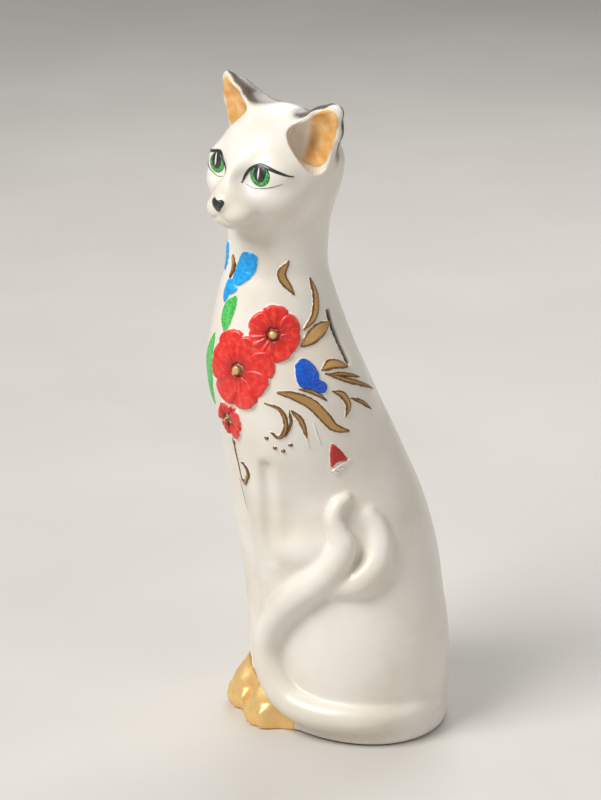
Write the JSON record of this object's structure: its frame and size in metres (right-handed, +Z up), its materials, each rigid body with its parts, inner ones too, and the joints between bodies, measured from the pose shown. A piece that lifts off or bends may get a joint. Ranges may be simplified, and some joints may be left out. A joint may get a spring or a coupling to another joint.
{
  "type": "ceramic cat figurine",
  "caption": "Seated ceramic cat money box with relief flowers, butterflies and gold leaves, a coin slot in the shoulder and a stopper in the base.",
  "frame": {"origin": "on the floor, at the middle of the outline seen from above", "axes": "+Z up, the cat's body faces -Y, and its left side is +X"},
  "size_m": [0.1313, 0.1302, 0.3427],
  "materials": {
    "white_glaze": "satin",
    "gold_lustre": "satin",
    "red_enamel": "gloss",
    "green_enamel": "gloss",
    "azure_enamel": "gloss",
    "blue_enamel": "gloss",
    "black_enamel": "gloss",
    "stopper_rubber": "matte"
  },
  "bodies": {
    "cat": {"body_casting": "white_glaze", "bud_petal": "red_enamel", "bud_sepals": "white_glaze", "butterfly_1_body": "gold_lustre", "butterfly_1_far_wing": "azure_enamel", "butterfly_1_lower_wing": "azure_enamel", "butterfly_1_upper_wing": "azure_enamel", "butterfly_2_body": "gold_lustre", "butterfly_2_lower_wing": "blue_enamel", "butterfly_2_upper_wing": "blue_enamel", "ear_left": "white_glaze", "ear_lining_left": "gold_lustre", "ear_lining_right": "gold_lustre", "ear_right": "white_glaze", "eye_left": "green_enamel", "eye_right": "green_enamel", "flower_1_bead": "gold_lustre", "flower_1_petals": "red_enamel", "flower_2_bead": "gold_lustre", "flower_2_petals": "red_enamel", "flower_3_bead": "gold_lustre", "flower_3_petals": "red_enamel", "front_paw_left": "gold_lustre", "front_paw_right": "gold_lustre", "gold_dot_1": "gold_lustre", "gold_dot_2": "gold_lustre", "gold_dot_3": "gold_lustre", "gold_dot_4": "gold_lustre", "gold_leaf_flower": "gold_lustre", "gold_leaf_hook": "gold_lustre", "gold_leaf_long": "gold_lustre", "gold_leaf_nape": "gold_lustre", "gold_leaf_neck": "gold_lustre", "gold_leaf_outer": "gold_lustre", "gold_leaf_right_1": "gold_lustre", "gold_leaf_right_2": "gold_lustre", "gold_leaf_right_3": "gold_lustre", "gold_scroll_1": "gold_lustre", "gold_scroll_2": "gold_lustre", "gold_scroll_3": "gold_lustre", "gold_spray_1": "gold_lustre", "gold_spray_2": "gold_lustre", "gold_spray_3": "gold_lustre", "gold_stem": "gold_lustre", "green_leaf_side": "green_enamel", "green_leaf_upper": "green_enamel", "head_casting": "white_glaze", "nose": "black_enamel", "pupil_left": "black_enamel", "pupil_right": "black_enamel", "tail": "white_glaze"},
    "stopper": {"base_stopper": "stopper_rubber"}
  },
  "joints": [
    {"name": "stopper_pull", "type": "slide", "parent": "cat", "child": "stopper", "axis": [0, 0, -1], "range_m": [0, 0.025]}
  ]
}
